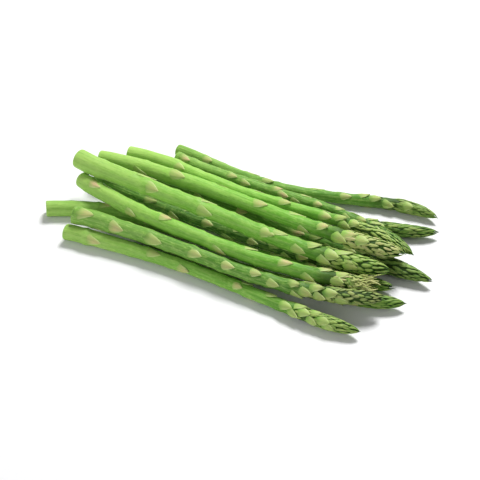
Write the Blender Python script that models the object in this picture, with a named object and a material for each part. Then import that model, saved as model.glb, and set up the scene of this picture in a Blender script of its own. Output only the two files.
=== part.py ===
"""A small pile of thirteen green asparagus spears, lying loose in two layers.

Metres, +Z up. The spears run along X, cut ends towards -X and heads towards +X. The origin is
the middle of the pile's underside. Each spear is one closed solid, from its cut butt to the tip
of its head, with its bracts and head scales grown on it.
"""
import math

import bmesh
import bpy
from mathutils import Matrix, Vector

MM = 0.001

# Where each spear lies, in millimetres on the surface, in the order the pile is laid. The bows
# are how far the spear's middle line swings to its left a quarter, half and three quarters of
# the way from butt to tip.
# name, butt (x, y), tip (x, y), bows, butt radius, head start, first bract turn
SPEARS = (
    ("spear_01", (-105, -62), (107.5, -59.5), (4, 4, 0), 5.0, 0.78, 60),
    ("spear_02", (-61, -43), (124, -23.5), (-5.5, -9, -9), 5.0, 0.77, 200),
    ("spear_03", (-130, -49), (113.5, -14.5), (11.5, 4.5, -1.5), 5.4, 0.80, 20),
    ("spear_04", (-116, -6), (96, -6.5), (-5, -6.5, -6.5), 5.0, 0.78, 140),
    ("spear_05", (-105, 17.5), (134, 2.5), (-1.5, -3, -2), 5.6, 0.78, 250),
    ("spear_06", (-97, 31), (121, 50), (-9.5, -13, -12.5), 4.8, 0.77, 90),
    ("spear_07", (-80, 50.5), (115.5, 63), (-9.5, -11, -1), 4.7, 0.76, 300),
    ("spear_08", (-70.5, 32.5), (115, 12), (1, 7, 10), 4.4, 0.77, 10),
    ("spear_09", (-103.5, -53.5), (114, -31), (-2, -9.5, -13), 5.4, 0.74, 100),
    ("spear_10", (-116.5, -22.5), (109.5, -25), (-11, -14.5, -12.5), 5.6, 0.80, 330),
    ("spear_11", (-102.5, 18.5), (112.5, 5), (2.5, 2, 7.5), 5.2, 0.76, 170),
    ("spear_12", (-115, 1), (112.5, 3), (4, 1, -2.5), 6.0, 0.77, 45),
    ("spear_13", (-122.5, -15), (108.5, -8.5), (-3.5, -6.5, -9), 6.3, 0.80, 280),
)
BOW_PLACES = (0.25, 0.5, 0.75)

CLEARANCE = 0.3         # left between two spears that touch, mm
BRACT_PROUD = 0.5       # how far a bract stands off the stem, mm
BALANCE = 0.45          # a spear's centre of weight, as a part of its length from the butt
TEST_POINTS = 60        # places along a spear that are tested against those below

NECK = 0.80             # stem radius just under the head, as a part of the butt radius
HEAD_SWELL = 0.20       # how far the head fills out above its neck
HEAD_BLUNTNESS = 6      # the higher, the nearer to the tip the head stays full
TIP_ROUNDING = 0.85     # the lower, the rounder the tip's end
TIP_CROWDING = 1.6      # how much closer the rings lie towards the tip
HEAD_CORE = 0.86        # radius of the head under its scales, as a part of its outline
TIP_RADIUS = 0.45       # mm
CUT_CHAMFER = 1.0       # rounding at the cut butt, mm
STEM_RINGS = 9
HEAD_RINGS = 8

FIRST_BRACT = 0.09      # place of the lowest bract, as a part of the spear's length
LAST_SCALE = 0.95
BRACTS = 17             # bracts and head scales on one spear
CROWDING = 0.85         # each step between bracts is this much of the step before it
SPIRAL = math.radians(137.5)
BRACT_SIDES = 5
BRACT_WIDTH = 1.25      # of the stem radius
BRACT_LENGTH = 1.9      # of the stem radius
BRACT_FLATNESS = 0.26

STEM_GREEN = (0.30, 0.56, 0.10)
DEEP_GREEN = (0.16, 0.38, 0.06)
ROUGHNESS = 0.42


def outline_radius(along, butt_radius, head_start):
    """Radius in mm of the spear's outline, at a part of the way from butt to tip."""
    if along < head_start:
        return butt_radius * (1 - (1 - NECK) * along / head_start)
    up = (along - head_start) / (1 - head_start)
    swell = 1 + HEAD_SWELL * math.sin(math.pi * up ** 0.8)
    point = max(0.0, 1 - up ** HEAD_BLUNTNESS) ** TIP_ROUNDING
    return max(TIP_RADIUS, butt_radius * NECK * swell * point)


def swing(along, bows):
    """Smooth sideways bow in mm that is nil at both ends and meets each given bow."""
    total = 0.0
    for bow, place in zip(bows, BOW_PLACES):
        others = [0.0, 1.0] + [other for other in BOW_PLACES if other != place]
        share = math.prod((along - other) / (place - other) for other in others)
        total += bow * share
    return total


def plan_point(along, butt, tip, bows):
    """Place on the surface, in mm, of the spear's middle line."""
    run_x = tip[0] - butt[0]
    run_y = tip[1] - butt[1]
    aside = swing(along, bows) / math.hypot(run_x, run_y)
    return butt[0] + run_x * along - run_y * aside, butt[1] + run_y * along + run_x * aside


def needed_heights(points, radii, laid):
    """Lowest height of the middle line at each test point that clears what is below."""
    heights = []
    for (x, y), radius in zip(points, radii):
        height = radius
        for other_points, other_heights, other_radii in laid:
            for (ox, oy), oz, other_radius in zip(other_points, other_heights, other_radii):
                reach = radius + other_radius + CLEARANCE - BRACT_PROUD
                apart = (x - ox) ** 2 + (y - oy) ** 2
                if apart < reach * reach:
                    height = max(height, oz + math.sqrt(reach * reach - apart))
        heights.append(height)
    return heights


def resting_line(heights):
    """Butt and tip height of the straight line that rests on two of the needed heights.

    A loose spear tips until it is held on both sides of its centre of weight, so the line is
    the edge of the heights' upper hull that lies over that centre.
    """
    last = len(heights) - 1
    hull = []
    for index, height in enumerate(heights):
        here = (index / last, height)
        while len(hull) > 1:
            (ax, az), (bx, bz) = hull[-2], hull[-1]
            if (bx - ax) * (here[1] - az) < (bz - az) * (here[0] - ax):
                break
            hull.pop()
        hull.append(here)
    for (ax, az), (bx, bz) in zip(hull, hull[1:]):
        if ax <= BALANCE <= bx:
            slope = (bz - az) / (bx - ax)
            return az - slope * ax, az + slope * (1 - ax)
    return heights[0], heights[-1]


def lay_pile():
    """Settle the spears one on another and give each its middle line as a function."""
    laid = []
    lines = {}
    places = [index / TEST_POINTS for index in range(TEST_POINTS + 1)]
    for name, butt, tip, bows, butt_radius, head_start, _ in SPEARS:
        points = [plan_point(a, butt, tip, bows) for a in places]
        radii = [outline_radius(a, butt_radius, head_start) + BRACT_PROUD for a in places]
        butt_z, tip_z = resting_line(needed_heights(points, radii, laid))
        heights = [butt_z + (tip_z - butt_z) * a for a in places]
        laid.append((points, heights, radii))
        lines[name] = (butt, tip, bows, butt_z, tip_z)
    return lines


def line_point(line, along):
    """Place in mm of a settled spear's middle line."""
    butt, tip, bows, butt_z, tip_z = line
    x, y = plan_point(along, butt, tip, bows)
    return Vector((x, y, butt_z + (tip_z - butt_z) * along))


def ring_places(length, head_start):
    """Places along the spear where its body has a ring of points."""
    places = [0.0, CUT_CHAMFER / length]
    places += [head_start * index / STEM_RINGS for index in range(1, STEM_RINGS)]
    for index in range(HEAD_RINGS + 1):
        left = (1 - index / HEAD_RINGS) ** TIP_CROWDING
        places.append(head_start + (1 - head_start) * (1 - left))
    return places


def make_body(name, line, butt_radius, head_start):
    """The stem and the core of the head, as a round tube of changing thickness."""
    length = (line_point(line, 1) - line_point(line, 0)).length
    places = ring_places(length, head_start)
    curve = bpy.data.curves.new(name + "_line", "CURVE")
    curve.dimensions = "3D"
    curve.bevel_depth = MM
    curve.bevel_resolution = 3
    curve.use_fill_caps = True
    spline = curve.splines.new("POLY")
    spline.points.add(len(places) - 1)
    for point, along in zip(spline.points, places):
        radius = outline_radius(along, butt_radius, head_start)
        if along == 0:
            radius -= CUT_CHAMFER
        if head_start < along < 1:
            radius *= HEAD_CORE
        point.co = (*(line_point(line, along) * MM), 1)
        point.radius = radius
    guide = bpy.data.objects.new(name + "_line", curve)
    bpy.context.scene.collection.objects.link(guide)
    bpy.context.view_layer.update()
    solid = guide.evaluated_get(bpy.context.evaluated_depsgraph_get())
    mesh = bpy.data.meshes.new_from_object(solid)
    bpy.data.objects.remove(guide)
    bpy.data.curves.remove(curve)
    shell = bmesh.new()
    shell.from_mesh(mesh)
    bmesh.ops.remove_doubles(shell, verts=shell.verts, dist=0.00002)
    bmesh.ops.recalc_face_normals(shell, faces=shell.faces)
    shell.to_mesh(mesh)
    shell.free()
    return mesh


def bract_places():
    """Places of the bracts, which crowd together towards the tip."""
    step = 1.0
    steps = []
    for _ in range(BRACTS - 1):
        steps.append(step)
        step *= CROWDING
    scale = (LAST_SCALE - FIRST_BRACT) / sum(steps)
    places = [FIRST_BRACT]
    for step in steps:
        places.append(places[-1] + step * scale)
    return places


def make_bracts(name, line, butt_radius, head_start, first_turn):
    """Flat pointed scales in a spiral up the spear, in one mesh of overlapping solids."""
    scales = bmesh.new()
    length = (line_point(line, 1) - line_point(line, 0)).length
    for index, along in enumerate(bract_places()):
        here = line_point(line, along)
        ahead = (line_point(line, along + 0.01) - here).normalized()
        level = ahead.cross(Vector((0, 0, 1))).normalized()
        turn = math.radians(first_turn) + index * SPIRAL
        outward = Matrix.Rotation(turn, 3, ahead) @ level
        side = outward.cross(ahead)
        outline = outline_radius(along, butt_radius, head_start)
        size = BRACT_LENGTH * outline if along < head_start else 1.5 * BRACT_LENGTH * outline
        size = min(size, (0.995 - along) * length)
        tip_outline = outline_radius(along + size / length, butt_radius, head_start)
        core = outline * (HEAD_CORE if along > head_start else 1.0)
        half_thick = BRACT_FLATNESS * BRACT_WIDTH * outline / 2
        base = here + outward * (core - half_thick * 0.75)
        point = here + ahead * size + outward * (tip_outline - 0.1)
        axis = (point - base).normalized()
        thick = (outward - axis * outward.dot(axis)).normalized()
        frame = Matrix((side, thick, axis)).transposed().to_4x4()
        frame.translation = (base + point) / 2 * MM
        shape = Matrix.Diagonal((1, BRACT_FLATNESS, 1, 1))
        bmesh.ops.create_cone(
            scales, cap_ends=True, cap_tris=False, segments=BRACT_SIDES,
            radius1=BRACT_WIDTH * outline / 2 * MM, radius2=0.08 * outline * MM,
            depth=(point - base).length * MM, matrix=frame @ shape)
    bmesh.ops.recalc_face_normals(scales, faces=scales.faces)
    mesh = bpy.data.meshes.new(name + "_bracts")
    scales.to_mesh(mesh)
    scales.free()
    return mesh


def spear_material(name, depth):
    """Waxy green skin, between the pale and the deep green."""
    material = bpy.data.materials.new(name + "_skin")
    material.use_nodes = True
    shader = material.node_tree.nodes["Principled BSDF"]
    colour = [pale + (deep - pale) * depth for pale, deep in zip(STEM_GREEN, DEEP_GREEN)]
    shader.inputs["Base Color"].default_value = (*colour, 1)
    shader.inputs["Roughness"].default_value = ROUGHNESS
    shader.inputs["Metallic"].default_value = 0
    material.diffuse_color = (*colour, 1)
    return material


def make_spear(spear, line, pile, cutters, depth):
    """One whole spear: its body joined with its bracts."""
    name, _, _, _, butt_radius, head_start, first_turn = spear
    body = bpy.data.objects.new(name, make_body(name, line, butt_radius, head_start))
    pile.objects.link(body)
    bract_mesh = make_bracts(name, line, butt_radius, head_start, first_turn)
    bracts = bpy.data.objects.new(name + "_bracts", bract_mesh)
    cutters.objects.link(bracts)
    bracts.hide_render = True
    bracts.display_type = "WIRE"
    join = body.modifiers.new("bracts", "BOOLEAN")
    join.operation = "UNION"
    join.solver = "EXACT"
    join.use_self = True
    join.object = bracts
    body.data.materials.append(spear_material(name, depth))
    body.data.shade_smooth()
    body.data.set_sharp_from_angle(angle=math.radians(40))
    return body


def pile_middle(bodies):
    """The middle of the underside of everything built, in metres."""
    bpy.context.view_layer.update()
    depsgraph = bpy.context.evaluated_depsgraph_get()
    corners = [Vector(corner) for body in bodies
               for corner in body.evaluated_get(depsgraph).bound_box]
    lowest = [min(corner[axis] for corner in corners) for axis in range(3)]
    highest = [max(corner[axis] for corner in corners) for axis in range(3)]
    return Vector(((lowest[0] + highest[0]) / 2, (lowest[1] + highest[1]) / 2, lowest[2]))


def main():
    for old in list(bpy.data.objects):
        bpy.data.objects.remove(old)
    pile = bpy.data.collections.new("asparagus_bundle")
    cutters = bpy.data.collections.new("cutters")
    bpy.context.scene.collection.children.link(pile)
    bpy.context.scene.collection.children.link(cutters)
    anchor = bpy.data.objects.new("bundle_anchor", None)
    pile.objects.link(anchor)
    lines = lay_pile()
    bodies = []
    for index, spear in enumerate(SPEARS):
        depth = (index * 5 % len(SPEARS)) / len(SPEARS)
        bodies.append(make_spear(spear, lines[spear[0]], pile, cutters, depth))
    anchor.location = -pile_middle(bodies)
    for item in bodies + list(cutters.objects):
        item.parent = anchor


main()
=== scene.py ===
import math
import random

import bmesh
import bpy
import numpy as np
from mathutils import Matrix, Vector, noise


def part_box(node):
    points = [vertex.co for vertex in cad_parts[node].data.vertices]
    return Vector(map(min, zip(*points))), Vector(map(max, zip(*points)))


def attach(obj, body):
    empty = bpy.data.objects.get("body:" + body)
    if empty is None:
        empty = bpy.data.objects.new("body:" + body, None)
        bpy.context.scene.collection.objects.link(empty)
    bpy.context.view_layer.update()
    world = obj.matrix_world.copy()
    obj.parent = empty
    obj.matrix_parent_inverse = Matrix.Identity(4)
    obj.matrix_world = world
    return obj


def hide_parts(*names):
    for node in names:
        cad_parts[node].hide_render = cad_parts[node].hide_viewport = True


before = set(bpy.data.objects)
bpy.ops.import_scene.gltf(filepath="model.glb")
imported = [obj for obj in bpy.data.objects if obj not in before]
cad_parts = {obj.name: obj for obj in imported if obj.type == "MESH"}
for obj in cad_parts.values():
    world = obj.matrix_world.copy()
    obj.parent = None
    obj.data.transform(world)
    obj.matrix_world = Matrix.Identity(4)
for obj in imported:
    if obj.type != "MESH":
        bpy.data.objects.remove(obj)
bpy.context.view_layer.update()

# The looks of a small pile of green asparagus: for each spear a waxy stem with a cut butt, the
# scale leaves along it, and the buds of its head. The middle line and the thickness of each
# spear are read from its solid in the frame. Places along a spear are parts of its length, 0 at
# the butt and 1 at the tip. Turns round it are in degrees: 0 is the side towards -Y, 90 the top.

MM = 0.001
GOLDEN_TURN = 137.5     # from each leaf or bud to the next one up the spiral

# How each spear grew. The darkness value that opens each entry: how dark its green is, with painted shade
# added for spears that lie in shadow low in the pile. head_start: where the stem begins to swell.
# crown: where the close-set buds begin. head: a kind from HEADS. cream: how pale its buds are.
# stout: how much thicker the butt is than the solid's. full: how much fuller the head is. blunt:
# how late the head narrows. leaves: (along, turn, stain) of the scale leaves that are given
# here; the rest follow the spiral.
SPEARS = {
    "spear_01": dict(deep=0.3, stout=1.14, head_start=0.78, crown=0.85, head="tight", cream=0.15, leaves=(
        (0.08, 30, 0.6), (0.29, 65, 0.2), (0.40, 10, 0.5), (0.59, 55, 0.5), (0.76, 55, 0.1),
        (0.70, 120, 0.2), (0.79, 15, 0.1), (0.80, 110, 0.1), (0.82, 60, 0.1), (0.85, 5, 0.1),
        (0.855, 95, 0.1), (0.88, 45, 0.1), (0.90, 0, 0.1))),
    "spear_02": dict(deep=0.5, head_start=0.77, crown=0.84, head="tight", cream=0.0, leaves=()),
    "spear_03": dict(deep=0.35, head_start=0.80, crown=0.85, head="tight", cream=0.0,
                     leaves=((0.15, 105, 1.0),)),
    "spear_04": dict(deep=1.0, head_start=0.78, crown=0.84, head="tight", cream=0.0, leaves=()),
    "spear_05": dict(deep=0.6, full=1.2, blunt=4, head_start=0.78, crown=0.83, head="tight", cream=0.1,
                     leaves=((0.40, 45, 0.9), (0.58, 45, 0.9))),
    "spear_06": dict(deep=0.65, head_start=0.77, crown=0.84, head="tight", cream=0.0, leaves=()),
    "spear_07": dict(deep=0.55, head_start=0.76, crown=0.86, head="tight", cream=0.1, leaves=(
        (0.12, 60, 0.4), (0.37, 95, 0.2), (0.55, 135, 0.1), (0.65, 60, 0.4), (0.72, 105, 0.3),
        (0.76, 80, 0.2), (0.81, 30, 0.2), (0.88, 45, 0.1))),
    "spear_08": dict(deep=0.6, head_start=0.77, crown=0.84, head="tight", cream=0.0, leaves=(
        (0.02, 60, 0.9), (0.23, 80, 0.4), (0.44, 30, 1.0))),
    "spear_09": dict(deep=0.7, stout=1.12, head_start=0.74, crown=0.84, head="ragged", cream=0.35, leaves=(
        (0.02, 70, 0.5), (0.13, 30, 0.6), (0.26, 30, 0.2), (0.40, 55, 0.3), (0.51, 50, 0.5),
        (0.60, 80, 0.3), (0.66, 30, 0.2), (0.72, 80, 0.2), (0.73, -20, 0.2), (0.76, 25, 0.4),
        (0.79, 90, 0.3), (0.80, 5, 0.3), (0.83, 50, 0.2), (0.86, -10, 0.1))),
    "spear_10": dict(deep=0.15, head_start=0.80, crown=0.87, head="brush", cream=0.7, leaves=(
        (0.04, 80, 1.0), (0.20, 0, 0.4), (0.31, 105, 0.8), (0.50, -10, 0.9), (0.59, 135, 0.3),
        (0.70, 85, 0.8), (0.78, 0, 0.5), (0.82, 120, 0.5), (0.86, 35, 0.2), (0.87, 100, 0.3),
        (0.90, 95, 0.3), (0.91, 25, 0.2))),
    "spear_11": dict(deep=0.0, head_start=0.76, crown=0.82, head="ridged", cream=0.25, leaves=(
        (0.18, 55, 0.3), (0.56, 90, 0.4), (0.70, 60, 0.5), (0.75, 80, 0.3), (0.77, 20, 0.2),
        (0.80, 75, 0.3))),
    "spear_12": dict(deep=0.05, head_start=0.77, crown=0.83, head="lumpy", cream=0.75, leaves=(
        (0.12, -10, 0.3), (0.24, 70, 0.3), (0.53, 80, 0.5), (0.64, 135, 0.2), (0.68, -5, 0.3),
        (0.74, 80, 0.7), (0.80, 30, 0.4), (0.82, 85, 0.6), (0.86, 60, 0.3))),
    "spear_13": dict(deep=0.15, stout=1.12, head_start=0.80, crown=0.85, head="open", cream=0.15, leaves=(
        (0.24, 50, 0.3), (0.41, 135, 0.1), (0.42, 20, 0.1), (0.59, -45, 0.2), (0.62, 55, 0.2),
        (0.65, 110, 0.2), (0.72, 15, 0.3), (0.76, 100, 0.2), (0.80, -5, 0.3), (0.82, 60, 0.2),
        (0.85, 115, 0.2), (0.87, 20, 0.3))),
}

# The outline of a head: it swells from the stem and narrows late to a small round tip.
HEAD_SWELL = 0.20
HEAD_BLUNTNESS = 7
TIP_ROUNDING = 0.68
TIP_RADIUS = 0.45 * MM

HEAD_CORE = 0.86        # radius of the stem inside the head, as a part of the outline
CORE_REACH = 0.985      # where the stem ends inside the buds of the tip

STEM_SIDES = 32
STEM_RINGS = 120
BUTT_TAPER = 0.4        # how far up a stout butt has narrowed to the solid's size
CUT_ROUNDING = 0.9 * MM
CUT_RINGS = (0.0, 0.2 * MM, 0.5 * MM, CUT_ROUNDING)
CUT_INSETS = (0.08, 0.14, 0.2, 0.2, 0.18)       # rings of the cut face, as parts of its radius
CUT_DISH = 0.5 * MM     # how far the middle of the cut face has drawn in
CUT_ROUGHNESS = 0.25 * MM
SLANT_FADE = 14 * MM    # how far up the slant of the cut still moves the rings

# How far a stem is from its outline, as parts of its radius.
SLOW_SWELL = 0.075
OVALNESS = 0.015
RIB_HEIGHT = 0.008
WANDER = 0.10
NODE_SWELL = 0.13       # where a scale leaf grows out
NODE_PINCH = 0.035      # just above it
NODE_REACH = 9          # how far from the leaf's base the stem is uneven, in mm

LEAF_ROOT = 0.008       # how far below its node a scale leaf is rooted
LEAF_SPACING = 9        # least distance from a leaf of the spiral to any other, in mm
LEAF_TURN_WORTH = 8     # degrees round the stem that count as one mm of that distance
BACK_AND_UNDER = (150, 300)     # turns where the spiral is kept on every spear
LEAF_SEED = 100
BRACT_SEED = 200
HEAD_SEED = 300
BRUSH_THREADS = 110


class Spear:
    """The middle line and the thickness of one spear, read from its solid."""

    SAMPLES = 400

    def __init__(self, node, index):
        self.index = index
        self.grown = SPEARS[node]
        self.head_start = self.grown["head_start"]
        self.blunt = self.grown.get("blunt", HEAD_BLUNTNESS)
        self.full = self.grown.get("full", 1.0)
        self.stout = self.grown.get("stout", 1.0)
        low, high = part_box(node)
        centres, radii = cut_sections(node, low.x, high.x)
        bend = np.polyfit(centres[:, 0], centres[:, 1], 5)
        rise = np.polyfit(centres[:, 0], centres[:, 2], 1)
        on_stem = (centres[:, 0] - low.x) / (high.x - low.x) < self.head_start - 0.03
        thick = np.polyfit(centres[on_stem, 0], radii[on_stem], 1)
        self.butt_radius = float(np.polyval(thick, low.x))
        lean = math.hypot(np.polyval(np.polyder(bend), low.x), rise[0])
        x = np.linspace(low.x + self.butt_radius * math.sin(math.atan(lean)), high.x, self.SAMPLES)
        line = np.stack([x, np.polyval(bend, x), np.polyval(rise, x)], axis=1)
        gone = np.concatenate([[0], np.cumsum(np.linalg.norm(np.diff(line, axis=0), axis=1))])
        self.length = float(gone[-1])
        even = np.linspace(0, self.length, self.SAMPLES)
        line = np.stack([np.interp(even, gone, line[:, axis]) for axis in range(3)], axis=1)
        neck_x = low.x + (high.x - low.x) * self.head_start
        self.neck = float(np.polyval(thick, neck_x)) / self.butt_radius
        ahead = np.gradient(line, axis=0)
        self.line = [Vector(point) for point in line]
        self.ahead = [Vector(way).normalized() for way in ahead]
        self.aside = [way.cross(Vector((0, 0, 1))).normalized() for way in self.ahead]

    def outline(self, along):
        """Radius over the scales of the head, or of the bare stem."""
        along = max(along, 0.0)
        if along < self.head_start:
            stout = 1 + (self.stout - 1) * (1 - ease(along, 0.0, BUTT_TAPER))
            return self.butt_radius * stout * (1 - (1 - self.neck) * along / self.head_start)
        up = min((along - self.head_start) / (1 - self.head_start), 1.0)
        swell = 1 + (self.full - 1 + HEAD_SWELL) * math.sin(math.pi * up ** 0.8)
        point = (1 - up ** self.blunt) ** TIP_ROUNDING
        return max(TIP_RADIUS, self.butt_radius * self.neck * swell * point)

    def core(self, along):
        """Radius of the stem itself, which runs on within the head."""
        under = HEAD_CORE + (1 - HEAD_CORE) * (1 - ease(along, self.head_start, self.head_start + 0.06))
        under *= 1 - 0.5 * ease(along, 0.93, 1.0)
        if self.grown["head"] == "brush":
            under *= 1 - 0.75 * ease(along, 0.89, 0.95)
        return self.outline(along) * under

    def point(self, along, turn, out):
        """Place at a part of the length, a turn in radians and a distance from the middle."""
        step = min(max(along, 0.0), 1.0) * (self.SAMPLES - 1)
        first = min(int(step), self.SAMPLES - 2)
        centre = self.line[first].lerp(self.line[first + 1], step - first)
        ahead = self.ahead[first]
        if not 0 <= along <= 1:
            beyond = along if along < 0 else along - 1
            centre = centre + ahead * (beyond * self.length)
        aside = self.aside[first].lerp(self.aside[first + 1], step - first)
        above = aside.cross(ahead)
        return centre + (aside * math.cos(turn) + above * math.sin(turn)) * out


def ease(value, start, end):
    """Smooth step from 0 at start to 1 at end."""
    part = min(max((value - start) / (end - start), 0.0), 1.0)
    return part * part * (3 - 2 * part)


def cut_sections(node, low_x, high_x):
    """Middle and radius of thin cuts through a spear's solid."""
    solid = bmesh.new()
    solid.from_mesh(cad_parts[node].data)
    bmesh.ops.remove_doubles(solid, verts=solid.verts, dist=0.01 * MM)
    centres = []
    radii = []
    for part in np.linspace(0.05, 0.93, 30):
        cut = solid.copy()
        found = bmesh.ops.bisect_plane(
            cut, geom=cut.verts[:] + cut.edges[:] + cut.faces[:], dist=0.001 * MM,
            plane_co=(low_x + (high_x - low_x) * part, 0, 0), plane_no=(1, 0, 0))
        edges = [item for item in found["geom_cut"] if isinstance(item, bmesh.types.BMEdge)]
        ends = np.array([[vert.co[:] for vert in edge.verts] for edge in edges])
        middles = ends.mean(axis=1)
        lengths = np.linalg.norm(ends[:, 0] - ends[:, 1], axis=1)
        centre = (middles * lengths[:, None]).sum(axis=0) / lengths.sum()
        centres.append(centre)
        radii.append(np.percentile(np.linalg.norm(middles - centre, axis=1), 60))
        cut.free()
    solid.free()
    return np.array(centres), np.array(radii)


# ---------------------------------------------------------------- pieces

def new_piece(shape, name, material, node=None):
    """Turn a finished bmesh into a piece that rides with the bundle."""
    bmesh.ops.recalc_face_normals(shape, faces=shape.faces)
    mesh = bpy.data.meshes.new(name)
    shape.to_mesh(mesh)
    shape.free()
    mesh.materials.append(material)
    mesh.shade_smooth()
    mesh.set_sharp_from_angle(angle=math.radians(50))
    piece = bpy.data.objects.new(name, mesh)
    bpy.context.scene.collection.objects.link(piece)
    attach(piece, "root")
    if node:
        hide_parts(node)
    return piece


def new_layers(shape, place, *amounts):
    """Attributes for a piece's finish: where each point is on the part as it grew, and amounts."""
    layers = shape.verts.layers
    return (layers.float_vector.new(place), *(layers.float.new(amount) for amount in amounts))


def leaf_layers(shape):
    """The attributes of scale leaves, buds and threads."""
    return new_layers(shape, "leaf", "tone", "stain", "deep")


def unevenness(spear, along, turn, leaves):
    """How much thicker or thinner than its outline the stem is at one place."""
    seed = Vector((spear.index * 3.7, spear.index * 1.3, 0))
    round_about = Vector((math.cos(turn), math.sin(turn), 0))
    slow = noise.noise(seed + round_about * 0.5 + Vector((0, 0, along * 9)))
    oval = math.cos(2 * turn + spear.index)
    ribs = math.cos(9 * turn + 2 * slow) * (0.4 + 0.6 * along)
    total = 1 + SLOW_SWELL * slow + OVALNESS * oval + RIB_HEIGHT * ribs
    wander = seed + Vector((7.7, 0, along * 14))
    total += WANDER * noise.noise(wander) * math.cos(turn)
    total += WANDER * noise.noise(wander + Vector((0, 5.1, 0))) * math.sin(turn)
    for leaf_along, leaf_turn, _ in leaves:
        before = (leaf_along - along) * spear.length / MM
        if abs(before) < NODE_REACH:
            near = 0.5 + 0.5 * math.cos(turn - math.radians(leaf_turn))
            total += NODE_SWELL * near * math.exp(-((before - 0.5) / 2.2) ** 2)
            total -= NODE_PINCH * near * math.exp(-((before + 5) / 3.2) ** 2)
    return total


def make_stem(spear, leaves):
    """The stem from its cut butt up into the head, closed at both ends."""
    skin = bmesh.new()
    bmesh.ops.create_cone(skin, cap_ends=True, cap_tris=False, segments=STEM_SIDES,
                          radius1=1, radius2=1, depth=1)
    lengthwise = [edge for edge in skin.edges
                  if abs(edge.verts[0].co.z - edge.verts[1].co.z) > 0.5]
    bmesh.ops.subdivide_edges(skin, edges=lengthwise, cuts=STEM_RINGS - 1)
    caps = sorted((face for face in skin.faces if len(face.verts) == STEM_SIDES),
                  key=lambda face: face.calc_center_median().z)
    for inset in CUT_INSETS:
        bmesh.ops.inset_region(skin, faces=[caps[0]], thickness=inset)
    bmesh.ops.poke(skin, faces=caps)
    grown, along_layer, cut_layer, deep_layer, head_green_and_shade_layer = new_layers(
        skin, "grown", "along", "cut", "deep", "head_green_and_shade")
    length = spear.length * CORE_REACH
    rest = STEM_RINGS - len(CUT_RINGS) + 1
    step = (length - CUT_ROUNDING) / rest
    rings = list(CUT_RINGS) + [CUT_ROUNDING + step * (count + 1) for count in range(rest)]
    slant = 0.10 * math.sin(spear.index * 2.1)
    for vert in skin.verts:
        ring = round((vert.co.z + 0.5) * STEM_RINGS)
        share = min(math.hypot(vert.co.x, vert.co.y), 1.0)
        turn = math.atan2(vert.co.y, vert.co.x)
        on_cut = ring == 0 and share < 0.995
        gone = rings[ring]
        along = gone / spear.length
        radius = spear.core(along) * unevenness(spear, along, turn, leaves)
        if gone < CUT_ROUNDING:
            left = CUT_ROUNDING - gone
            radius -= CUT_ROUNDING - math.sqrt(CUT_ROUNDING ** 2 - left ** 2)
        radius *= share
        if ring == 0:
            rough = noise.noise(vert.co * 5 + Vector((spear.index, 0, 0)))
            gone += CUT_DISH * (1 - share ** 2) + CUT_ROUGHNESS * rough * (1 - share ** 4)
        gone += slant * math.cos(turn + spear.index) * radius * (1 - ease(gone, 0, SLANT_FADE))
        vert[grown] = Vector((math.cos(turn) * radius, math.sin(turn) * radius, gone)) / MM
        vert[along_layer] = along
        vert[cut_layer] = 1.0 if on_cut else 0.0
        # The spear's darkness: its own deeper green, with painted shade for spears that lie in shadow low
        # in the pile.
        vert[deep_layer] = spear.grown["deep"]
        # Rises towards the crown: mostly painted shade where the buds and open scale leaves cover the
        # stem, partly its own darker green there.
        vert[head_green_and_shade_layer] = ease(along, spear.grown["crown"] - 0.16, spear.grown["crown"] + 0.01)
        vert.co = spear.point(gone / spear.length, turn, radius)
    return skin


# ---------------------------------------------------------------- leaves

def unit_leaf():
    """A closed flat leaf: across -1..1 in X, up 0..1 in Y, outer face at 0, inner at -1 in Z."""
    leaf = bmesh.new()
    bmesh.ops.create_grid(leaf, x_segments=6, y_segments=6, size=1)
    bmesh.ops.solidify(leaf, geom=leaf.faces[:], thickness=1)
    top = max(vert.co.z for vert in leaf.verts)
    for vert in leaf.verts:
        vert.co = Vector((vert.co.x, (vert.co.y + 1) / 2, round(vert.co.z - top)))
    bmesh.ops.recalc_face_normals(leaf, faces=leaf.faces)
    return kept_shape(leaf, "unit_leaf")


def unit_bud():
    """A closed plump bud: across -1..1 in X, up 0..1 in Y, height -1..1 in Z."""
    bud = bmesh.new()
    bmesh.ops.create_uvsphere(bud, u_segments=8, v_segments=7, radius=1)
    for vert in bud.verts:
        vert.co = Vector((vert.co.x, (vert.co.z + 1) / 2, -vert.co.y))
    bmesh.ops.recalc_face_normals(bud, faces=bud.faces)
    return kept_shape(bud, "unit_bud")


def unit_thread():
    """A closed tapering thread: up 0..1 in Y, round about the Y axis."""
    thread = bmesh.new()
    bmesh.ops.create_cone(thread, cap_ends=True, cap_tris=True, segments=5,
                          radius1=1, radius2=0.45, depth=1)
    lengthwise = [edge for edge in thread.edges
                  if abs(edge.verts[0].co.z - edge.verts[1].co.z) > 0.5]
    bmesh.ops.subdivide_edges(thread, edges=lengthwise, cuts=4)
    for vert in thread.verts:
        vert.co = Vector((vert.co.x, vert.co.z + 0.5, -vert.co.y))
    bmesh.ops.recalc_face_normals(thread, faces=thread.faces)
    return kept_shape(thread, "unit_thread")


def kept_shape(shape, name):
    """Keep a bmesh as a mesh that can be laid again and again."""
    mesh = bpy.data.meshes.new(name)
    shape.to_mesh(mesh)
    shape.free()
    return mesh


LEAF = unit_leaf()
BUD = unit_bud()
THREAD = unit_thread()


def laid(shape, mesh):
    """Add a copy of a kept shape to a piece and give its new points."""
    first = len(shape.verts)
    shape.from_mesh(mesh)
    shape.verts.ensure_lookup_table()
    return [shape.verts[index] for index in range(first, len(shape.verts))]


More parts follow.
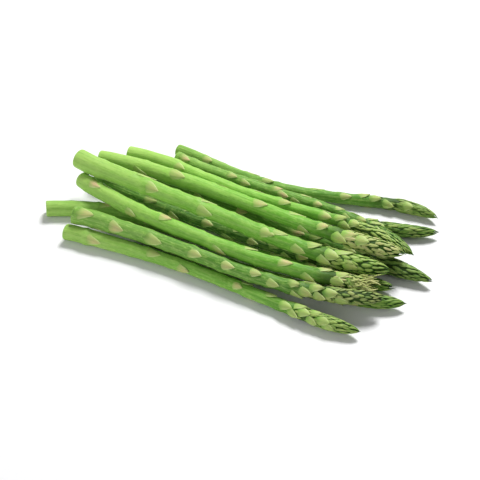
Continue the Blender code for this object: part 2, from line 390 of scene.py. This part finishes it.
def lay_leaf(shape, layers, spear, along, turn, size, tone, stain):
    """Add one scale leaf to a piece, wrapped round the spear.

    Sizes are in millimetres. round is how far its base curves back, belly, lift and curl are how
    far its middle, tip and edges stand off, and thin is its thickness at the tip. skew is how far
    the tip turns aside, in degrees, and point is how full its sides are.
    """
    leaf, tone_layer, stain_layer, deep_layer = layers
    start_turn = math.radians(turn)
    for vert in laid(shape, LEAF):
        across, up, side = vert.co
        half = size["width"] / 2 * (1 - up ** size["point"]) ** 0.8
        half *= 1 + 0.05 * math.sin(9 * up + 7 * tone)
        bell = (1 - across ** 2) * ease(up, -0.1, 0.35) * (1 - 0.45 * up)
        curl = size["curl"] * across ** 4 * math.sin(math.pi * min(up * 0.9 + 0.1, 1.0))
        gone = up * size["length"] - size["round"] * (1 - up) ** 2 * (1 - across ** 2)
        here = along + gone * MM / spear.length
        radius = spear.core(here) / MM
        height = size["belly"] * bell + size["lift"] * up ** 1.8 + curl - 0.25 * (1 - ease(up, 0, 0.2))
        depth = height + 0.6
        depth += (size["thin"] - depth) * ease(up, 0.35, 0.8)
        out = radius + height + side * depth * (-1 if side > 0 else 1)
        aside = across * half / max(radius, 1.2) + math.radians(size["skew"]) * up ** 1.5
        vert[leaf] = (across, up, -side)
        vert[tone_layer] = tone
        vert[stain_layer] = stain
        vert[deep_layer] = spear.grown["deep"]
        vert.co = spear.point(here, start_turn + aside, max(out, 0.05) * MM)


def lay_bud(shape, layers, spear, along, turn, size, tone, stain):
    """Add one long bud to a piece, lying along the spear.

    Sizes are in millimetres. sunk is how far down its foot sits, lift and hook are how far its end
    stands off and bends aside, and sway is how far it leans, in degrees.
    """
    leaf, tone_layer, stain_layer, deep_layer = layers
    start_turn = math.radians(turn)
    sway = math.radians(size["sway"])
    for vert in laid(shape, BUD):
        across, up, height = vert.co
        plump = 1.2 - 0.55 * up
        ahead = up * size["length"]
        beside = across * plump * size["width"] / 2
        beside += size["hook"] * up ** 2 - ahead * math.sin(sway)
        here = along + ahead * math.cos(sway) * MM / spear.length
        radius = spear.outline(here) / MM
        settled = radius - size["sunk"] * (1 - 0.7 * up) + size["lift"] * up ** 2
        out = settled + height * plump * size["thick"] / 2
        aside = beside / max(radius, 1.3)
        # The third value is the bud's height, which the bud finish turns into painted shade down between
        # the buds.
        vert[leaf] = (across, up, height)
        vert[tone_layer] = tone
        vert[stain_layer] = stain
        # The buds take the spear's darkness a quarter more than its stem: their own deeper green and
        # painted shade.
        vert[deep_layer] = min(spear.grown["deep"] + 0.25, 1.0)
        vert.co = spear.point(here, start_turn + aside, max(out, 0.05) * MM)


def lay_thread(shape, layers, spear, along, turn, size, tone):
    """Add one thread of a frayed tip to a piece.

    Sizes are in millimetres. start is how far from the middle its foot is, flare is how much
    further out its end is, and curl is how far it winds round, in degrees.
    """
    leaf, tone_layer, stain_layer, deep_layer = layers
    start_turn = math.radians(turn)
    for vert in laid(shape, THREAD):
        across, up, height = vert.co
        out = size["start"] + size["flare"] * math.sin(1.55 * up ** 1.3)
        bend = start_turn + math.radians(size["curl"]) * up ** 1.3
        here = along + size["length"] * up * (1 - 0.18 * up) * MM / spear.length
        centre = spear.point(here, bend, out * MM)
        beside = spear.point(here, bend + 0.5, out * MM) - centre
        outward = centre - spear.point(here, bend, 0)
        swell = size["width"] / 2 * (0.8 + 0.5 * math.sin(2.6 * up))
        # The third value feeds the painted shade of the bud finish; it is kept high so the threads stay
        # light.
        vert[leaf] = (across, up, 0.3 + 0.6 * up + 0.25 * height)
        vert[tone_layer] = tone
        vert[stain_layer] = spear.grown["cream"]
        vert[deep_layer] = spear.grown["deep"]
        vert.co = centre + (beside.normalized() * across + outward.normalized() * height) * swell * MM


def grown_leaves(spear):
    """Scale leaves along the stem: those listed, and the rest of the spiral."""
    placed = list(spear.grown["leaves"])
    chance = random.Random(LEAF_SEED + spear.index)
    crown = spear.grown["crown"]
    along = 0.07 + 0.03 * chance.random()
    turn = 360 * chance.random()
    leaves = list(placed)
    while along < crown:
        away = BACK_AND_UNDER[0] < turn % 360 < BACK_AND_UNDER[1]
        few_placed = len(placed) < 4 and 0.2 < along
        if not placed or away or few_placed:
            apart = [abs(other - along) * spear.length / MM
                     + abs((turn - spot + 180) % 360 - 180) / LEAF_TURN_WORTH
                     for other, spot, _ in leaves]
            if not apart or min(apart) > LEAF_SPACING:
                leaves.append((along, turn % 360, chance.uniform(0.1, 0.7)))
        along += 0.012 + 0.05 * (1 - along / crown)     # closer and closer towards the crown
        turn += GOLDEN_TURN
    return sorted(leaves)


def make_bracts(spear, leaves):
    """The scale leaves of the stem and of the open lower part of the head."""
    shape = bmesh.new()
    layers = leaf_layers(shape)
    chance = random.Random(BRACT_SEED + spear.index)
    for along, turn, stain in leaves:
        radius = spear.core(along) / MM
        low_head = ease(along, spear.head_start - 0.12, spear.head_start + 0.02)
        size = dict(
            length=(2.5 - 0.4 * low_head) * radius * chance.uniform(0.9, 1.12),
            width=(2.0 - 0.1 * low_head) * radius * chance.uniform(0.92, 1.1),
            point=chance.uniform(1.05, 1.4),
            round=0.25 * radius,
            belly=0.65 + 0.6 * low_head,
            lift=chance.uniform(0.1, 0.7) + low_head * chance.uniform(0.5, 1.4),
            curl=0.1 + 0.45 * low_head,
            thin=0.2 + 0.2 * low_head,
            skew=chance.uniform(-9, 9))
        lay_leaf(shape, layers, spear, along - LEAF_ROOT, turn, size, chance.random(), stain)
    return shape


# The buds of each kind of head. count, end: how many, and where the last begins. length, width
# and thick are in millimetres at the crown. sway: the most they lean, in degrees. lift, hook: the
# most their ends stand off and bend aside, in millimetres.
HEADS = {
    "tight": dict(count=92, end=0.975, length=9.5, width=2.9, thick=1.7, sway=9, lift=0.3, hook=0.3),
    "ridged": dict(count=104, end=0.975, length=8.5, width=2.3, thick=2.0, sway=14, lift=0.6, hook=0.7),
    "ragged": dict(count=80, end=0.97, length=7.5, width=3.1, thick=2.6, sway=22, lift=1.0, hook=1.0),
    "lumpy": dict(count=76, end=0.97, length=9.5, width=3.9, thick=3.1, sway=16, lift=0.9, hook=0.9),
    "open": dict(count=64, end=0.97, length=9.0, width=3.8, thick=2.9, sway=13, lift=0.7, hook=0.6),
    "brush": dict(count=26, end=0.91, length=6.5, width=2.9, thick=2.3, sway=24, lift=0.8, hook=0.8),
}


def make_head(spear, leaves):
    """The close-set buds from the crown to the tip, and those behind the open scale leaves."""
    shape = bmesh.new()
    layers = leaf_layers(shape)
    chance = random.Random(HEAD_SEED + spear.index)
    kind = HEADS[spear.grown["head"]]
    cream = spear.grown["cream"]
    crown = spear.grown["crown"] - 0.02
    for number in range(kind["count"]):
        up = number / (kind["count"] - 1)
        along = crown + (kind["end"] - crown) * (1 - (1 - up) ** 1.1)
        narrow = 1 - 0.5 * ease(up, 0.3, 1.0)
        length = kind["length"] * (1 - 0.35 * up) * chance.uniform(0.8, 1.15)
        length = min(length, (1.01 - along) * spear.length / MM)
        size = dict(
            length=max(length, 1.6),
            width=kind["width"] * narrow * chance.uniform(0.8, 1.2),
            thick=kind["thick"] * narrow * chance.uniform(0.8, 1.2),
            sunk=0.55 * kind["thick"] * narrow,
            lift=kind["lift"] * chance.uniform(-0.3, 1.0) * (1 - 0.7 * up),
            hook=kind["hook"] * chance.uniform(-1, 1) * narrow,
            sway=kind["sway"] * chance.uniform(-1, 1) * (1 - 0.5 * up))
        stain = min(cream * chance.uniform(0.3, 1.3), 1.0)
        lay_bud(shape, layers, spear, along, number * GOLDEN_TURN + chance.uniform(-10, 10), size,
                chance.random(), stain)
    for along, turn, _ in leaves:
        if along > spear.head_start - 0.03:
            lay_side_buds(shape, layers, spear, chance, along, turn)
    if spear.grown["head"] == "brush":
        lay_brush(shape, layers, spear, chance)
    return shape


def lay_side_buds(shape, layers, spear, chance, along, turn):
    """The two small buds that look out from behind an open scale leaf."""
    for side in (-1, 1):
        size = dict(
            length=chance.uniform(5.0, 7.5),
            width=chance.uniform(1.9, 2.6),
            thick=chance.uniform(1.4, 2.0),
            sunk=0.9,
            lift=chance.uniform(0.1, 0.5),
            hook=chance.uniform(-0.6, 0.6),
            sway=side * chance.uniform(2, 18))
        lay_bud(shape, layers, spear, along + chance.uniform(0.004, 0.016),
                turn + side * chance.uniform(14, 34), size, chance.random(),
                min(spear.grown["cream"] * chance.uniform(0.3, 1.2), 1.0))


def lay_brush(shape, layers, spear, chance):
    """The frayed, half-open flower threads at the end of an overgrown spear."""
    for number in range(BRUSH_THREADS):
        start = chance.uniform(0.4, 3.2)
        along = chance.uniform(0.905, 0.93)
        size = dict(
            start=start,
            length=min(chance.uniform(8, 18), (1.03 - along) * spear.length / MM),
            width=chance.uniform(0.8, 1.5),
            flare=start * 0.7 + chance.uniform(0.2, 4.0),
            curl=chance.uniform(-50, 50))
        lay_thread(shape, layers, spear, along, number * GOLDEN_TURN, size, chance.random())


# ---------------------------------------------------------------- finishes

def srgb(red, green, blue):
    """Linear colour from everyday 0-255 values."""
    parts = []
    for value in (red, green, blue):
        value /= 255
        parts.append(value / 12.92 if value < 0.04045 else ((value + 0.055) / 1.055) ** 2.4)
    return (*parts, 1)


class Finish:
    """A material built from nodes, one short call each."""

    def __init__(self, name, roughness, subsurface):
        self.material = bpy.data.materials.new(name)
        self.material.use_nodes = True
        self.tree = self.material.node_tree
        self.shader = self.tree.nodes["Principled BSDF"]
        self.shader.inputs["Roughness"].default_value = roughness
        self.shader.inputs["Specular IOR Level"].default_value = 0.2
        self.shader.inputs["Subsurface Weight"].default_value = subsurface
        self.shader.inputs["Subsurface Radius"].default_value = (0.5, 1.0, 0.25)
        self.shader.inputs["Subsurface Scale"].default_value = 1.2 * MM

    def put(self, socket, value):
        """Link a node's output to a socket, or set the socket to a number or colour."""
        if isinstance(value, bpy.types.NodeSocket):
            self.tree.links.new(value, socket)
        elif value is not None:
            socket.default_value = value

    def attribute(self, name, output="Fac"):
        node = self.tree.nodes.new("ShaderNodeAttribute")
        node.attribute_name = name
        return node.outputs[output]

    def math(self, operation, first, second=None, clamp=False):
        node = self.tree.nodes.new("ShaderNodeMath")
        node.operation = operation
        node.use_clamp = clamp
        self.put(node.inputs[0], first)
        self.put(node.inputs[1], second)
        return node.outputs[0]

    def stretch(self, vector, scale):
        node = self.tree.nodes.new("ShaderNodeMapping")
        self.put(node.inputs["Vector"], vector)
        node.inputs["Scale"].default_value = scale
        return node.outputs[0]

    def noise(self, vector, scale, detail=3, rough=0.55, shift=0.0):
        node = self.tree.nodes.new("ShaderNodeTexNoise")
        node.noise_dimensions = "4D"
        self.put(node.inputs["Vector"], vector)
        self.put(node.inputs["W"], shift)
        node.inputs["Scale"].default_value = scale
        node.inputs["Detail"].default_value = detail
        node.inputs["Roughness"].default_value = rough
        return node.outputs[0]

    def ramp(self, value, *stops):
        node = self.tree.nodes.new("ShaderNodeValToRGB")
        self.put(node.inputs[0], value)
        elements = node.color_ramp.elements
        while len(elements) < len(stops):
            elements.new(0.5)
        for element, (place, colour) in zip(elements, stops):
            element.position = place
            element.color = colour if isinstance(colour, tuple) else (colour, colour, colour, 1)
        return node.outputs[0]

    def mix(self, factor, first, second):
        node = self.tree.nodes.new("ShaderNodeMix")
        node.data_type = "RGBA"
        self.put(node.inputs[0], factor)
        self.put(node.inputs[6], first)
        self.put(node.inputs[7], second)
        return node.outputs[2]

    def parts(self, vector):
        node = self.tree.nodes.new("ShaderNodeSeparateXYZ")
        self.put(node.inputs[0], vector)
        return node.outputs

    def bump(self, height, strength, distance, under=None):
        node = self.tree.nodes.new("ShaderNodeBump")
        node.inputs["Strength"].default_value = strength
        node.inputs["Distance"].default_value = distance
        self.put(node.inputs["Height"], height)
        self.put(node.inputs["Normal"], under)
        return node.outputs[0]

    def finish(self, colour, roughness, normal):
        self.put(self.shader.inputs["Base Color"], colour)
        self.put(self.shader.inputs["Roughness"], roughness)
        self.put(self.shader.inputs["Normal"], normal)
        return self.material


def waxy_skin():
    """Stem skin: pale yellow-green at the butt, deeper to the head and darkest under it, where painted
    shade is mixed in, with long faint streaks.
    """
    skin = Finish("waxy_skin", 0.5, 0.06)
    grown = skin.attribute("grown", "Vector")
    along = skin.attribute("along")
    deep = skin.attribute("deep")
    shift = skin.math("MULTIPLY", deep, 37.0)
    streaks = skin.noise(skin.stretch(grown, (0.9, 0.9, 0.03)), 1.0, 4, 0.6, shift)
    clouds = skin.noise(skin.stretch(grown, (0.16, 0.16, 0.05)), 1.0, 3, 0.5, shift)
    pores = skin.noise(skin.stretch(grown, (3.0, 3.0, 1.1)), 1.0, 3, 0.6, shift)
    reach = skin.math("ADD", along, skin.math("MULTIPLY", skin.math("SUBTRACT", clouds, 0.5), 0.5))
    pale = skin.ramp(reach, (0.0, srgb(168, 208, 102)), (0.30, srgb(146, 202, 82)),
                     (0.62, srgb(122, 188, 62)), (0.9, srgb(92, 160, 44)))
    dark = skin.ramp(reach, (0.0, srgb(92, 146, 50)), (0.30, srgb(54, 108, 28)),
                     (0.62, srgb(36, 84, 18)), (0.9, srgb(28, 66, 14)))
    # Darker spears: their own deeper green, with painted shade for those that lie in shadow low in the
    # pile.
    colour = skin.mix(deep, pale, dark)
    colour = skin.mix(skin.ramp(streaks, (0.42, 0.0), (0.62, 0.35)), colour, srgb(178, 216, 118))
    colour = skin.mix(skin.ramp(streaks, (0.30, 0.4), (0.46, 0.0)), colour, srgb(92, 150, 46))
    colour = skin.mix(skin.ramp(pores, (0.60, 0.0), (0.75, 0.3)), colour, srgb(196, 222, 140))
    mottle = skin.noise(skin.stretch(grown, (0.6, 0.6, 0.25)), 1.0, 4, 0.65, shift)
    colour = skin.mix(skin.ramp(mottle, (0.52, 0.0), (0.66, 0.4)), colour, srgb(176, 214, 108))
    colour = skin.mix(skin.ramp(mottle, (0.34, 0.22), (0.48, 0.0)), colour, srgb(84, 146, 40))
    spots = skin.noise(skin.stretch(grown, (1.6, 1.6, 0.0)), 1.0, 1, 0.4, shift)
    flesh = skin.ramp(spots, (0.40, srgb(206, 222, 150)), (0.56, srgb(178, 204, 112)),
                      (0.66, srgb(132, 164, 74)))
    colour = skin.mix(skin.attribute("cut"), colour, flesh)
    # Painted shade on the stem under the head, mixed with its own darker green there.
    head_green_and_shade = skin.ramp(skin.attribute("head_green_and_shade"), (0.0, 0.0), (0.6, 0.35), (1.0, 0.9))
    colour = skin.mix(head_green_and_shade, colour, srgb(40, 66, 12))
    rough = skin.ramp(clouds, (0.3, 0.46), (0.7, 0.60))
    lumps = skin.noise(skin.stretch(grown, (0.5, 0.5, 0.16)), 1.0, 3, 0.6, shift)
    normal = skin.bump(lumps, 0.6, 0.8 * MM)
    normal = skin.bump(streaks, 0.5, 0.35 * MM, normal)
    normal = skin.bump(pores, 0.3, 0.10 * MM, normal)
    return skin.finish(colour, rough, normal)


def pale_bract():
    """Scale leaf: stem green at its base, darker with painted shade on shaded spears, pale to its tip,
    paler along its edges towards the tip, partly as its papery margin and partly as a painted highlight,
    and blushed pink in the middle.
    """
    bract = Finish("pale_bract", 0.5, 0.12)
    leaf = bract.attribute("leaf", "Vector")
    across, up, _ = bract.parts(leaf)
    tone = bract.attribute("tone")
    shift = bract.math("MULTIPLY", tone, 53.0)
    veins = bract.noise(bract.stretch(leaf, (7.0, 0.7, 0.0)), 1.0, 2, 0.5, shift)
    clouds = bract.noise(bract.stretch(leaf, (1.2, 1.2, 0.0)), 1.0, 3, 0.5, shift)
    uneven = bract.math("MULTIPLY", bract.math("SUBTRACT", clouds, 0.5), 0.7)
    reach = bract.math("ADD", up, uneven)
    # The leaf's base follows the spear's darkness: its own green, with painted shade on spears in shadow.
    base = bract.mix(bract.attribute("deep"), srgb(122, 180, 66), srgb(42, 94, 22))
    colour = bract.mix(bract.ramp(reach, (0.0, 0.1), (0.35, 0.7)), base, srgb(176, 202, 112))
    middle = bract.math("SUBTRACT", 1.0, bract.math("ABSOLUTE", across))
    blush = bract.math("MULTIPLY", bract.ramp(middle, (0.05, 0.0), (0.6, 1.0)),
                       bract.ramp(reach, (0.25, 0.0), (0.6, 1.0), (1.0, 0.8)))
    blush = bract.math("MULTIPLY", blush, bract.ramp(bract.attribute("stain"), (0.0, 0.05), (1.0, 0.9)))
    colour = bract.mix(blush, colour, srgb(214, 184, 142))
    # Lighter along both edges towards the tip: partly the leaf's own pale papery margin, partly a painted
    # highlight.
    rim_and_highlight = bract.ramp(bract.math("ABSOLUTE", across), (0.6, 0.0), (1.0, 0.75))
    colour = bract.mix(bract.math("MULTIPLY", rim_and_highlight, bract.ramp(up, (0.2, 0.0), (0.6, 1.0))), colour,
                       srgb(216, 226, 160))
    colour = bract.mix(bract.ramp(veins, (0.48, 0.0), (0.62, 0.35)), colour, srgb(136, 174, 84))
    normal = bract.bump(veins, 0.4, 0.15 * MM)
    return bract.finish(colour, 0.5, normal)


def bud_scale():
    """Buds of the head: painted shade down between them, where each sinks among the others, and light
    along their backs.
    """
    bud = Finish("bud_scale", 0.5, 0.06)
    leaf = bud.attribute("leaf", "Vector")
    across, up, height = bud.parts(leaf)
    tone = bud.attribute("tone")
    deep = bud.attribute("deep")
    shift = bud.math("MULTIPLY", tone, 71.0)
    veins = bud.noise(bud.stretch(leaf, (4.0, 0.6, 2.0)), 1.0, 2, 0.5, shift)
    clouds = bud.noise(bud.stretch(leaf, (1.0, 2.2, 1.0)), 1.0, 3, 0.5, shift)
    uneven = bud.math("MULTIPLY", bud.math("SUBTRACT", clouds, 0.5), 1.1)
    # A bud's height runs from the side sunk among the others to its outer back: the ramps below paint
    # shade down between the buds and leave their backs light.
    back = bud.math("ADD", height, uneven)
    pale = bud.ramp(back, (0.05, srgb(52, 98, 26)), (0.45, srgb(118, 168, 58)),
                    (0.95, srgb(176, 208, 104)))
    dark = bud.ramp(back, (0.05, srgb(20, 48, 10)), (0.5, srgb(46, 92, 24)),
                    (1.05, srgb(122, 162, 64)))
    # Darker spears: the buds' own deeper green, with painted shade for spears that lie in shadow.
    colour = bud.mix(deep, pale, dark)
    creamy = bud.math("MULTIPLY", bud.attribute("stain"), bud.ramp(back, (0.2, 0.0), (0.7, 1.0)))
    colour = bud.mix(creamy, colour, srgb(212, 204, 146))
    lively = bud.math("MULTIPLY", bud.ramp(tone, (0.5, 0.0), (1.0, 0.5)),
                      bud.ramp(back, (0.2, 0.0), (0.7, 1.0)))
    colour = bud.mix(lively, colour, srgb(190, 206, 118))
    colour = bud.mix(bud.ramp(veins, (0.5, 0.0), (0.65, 0.45)), colour, srgb(70, 116, 38))
    normal = bud.bump(veins, 0.4, 0.15 * MM)
    return bud.finish(colour, 0.5, normal)


# ---------------------------------------------------------------- room

CAMERA_TURN = math.radians(26)
CAMERA_RISE = math.radians(42)
CAMERA_AWAY = 0.75
CAMERA_AIM = Vector((0.0014, -0.0133, 0))
CAMERA_SHIFT = Vector((-0.0008, -0.001, 0))
CAMERA_LENS = 81.9


def make_camera():
    """Camera in front, a little towards the heads, looking down on the bundle."""
    back = Vector((math.sin(CAMERA_TURN) * math.cos(CAMERA_RISE),
                   -math.cos(CAMERA_TURN) * math.cos(CAMERA_RISE), math.sin(CAMERA_RISE)))
    lens = bpy.data.cameras.new("camera")
    lens.lens = CAMERA_LENS
    lens.sensor_width = 36
    lens.clip_start = 0.01
    camera = bpy.data.objects.new("camera", lens)
    camera.location = back * CAMERA_AWAY + CAMERA_SHIFT
    camera.rotation_euler = (CAMERA_AIM - camera.location).to_track_quat("-Z", "Y").to_euler()
    bpy.context.scene.collection.objects.link(camera)
    bpy.context.scene.camera = camera


def make_area_light(name, place, size, power):
    """One soft box that points at the bundle."""
    light = bpy.data.lights.new(name, "AREA")
    light.shape = "DISK"
    light.size = size
    light.energy = power
    lamp = bpy.data.objects.new(name, light)
    lamp.location = place
    lamp.rotation_euler = (-lamp.location).to_track_quat("-Z", "Y").to_euler()
    bpy.context.scene.collection.objects.link(lamp)


def make_room():
    """Pale floor, a high soft box behind, a low one in front and a dim even surround."""
    floor_shape = bmesh.new()
    bmesh.ops.create_circle(floor_shape, cap_ends=True, segments=64, radius=6)
    mesh = bpy.data.meshes.new("floor")
    floor_shape.to_mesh(mesh)
    floor_shape.free()
    paint = bpy.data.materials.new("pale_floor")
    paint.use_nodes = True
    paint.node_tree.nodes["Principled BSDF"].inputs["Base Color"].default_value = (0.86, 0.86, 0.87, 1)
    paint.node_tree.nodes["Principled BSDF"].inputs["Roughness"].default_value = 0.6
    mesh.materials.append(paint)
    floor = bpy.data.objects.new("floor", mesh)
    bpy.context.scene.collection.objects.link(floor)
    make_area_light("key", (-0.05, 0.75, 1.05), 0.45, 20)
    make_area_light("fill", (-0.45, -0.95, 0.45), 0.8, 4.5)
    world = bpy.data.worlds.new("surround")
    world.use_nodes = True
    world.node_tree.nodes["Background"].inputs["Color"].default_value = (1, 1, 1, 1)
    world.node_tree.nodes["Background"].inputs["Strength"].default_value = 0.26
    bpy.context.scene.world = world
    bpy.context.scene.view_settings.view_transform = "Standard"


# ---------------------------------------------------------------- making

make_camera()
make_room()
skin_finish = waxy_skin()
bract_finish = pale_bract()
bud_finish = bud_scale()
for order, spear_node in enumerate(sorted(SPEARS)):
    one = Spear(spear_node, order)
    its_leaves = grown_leaves(one)
    new_piece(make_stem(one, its_leaves), spear_node + "_stem", skin_finish, spear_node)
    new_piece(make_bracts(one, its_leaves), spear_node + "_bracts", bract_finish)
    new_piece(make_head(one, its_leaves), spear_node + "_head", bud_finish)
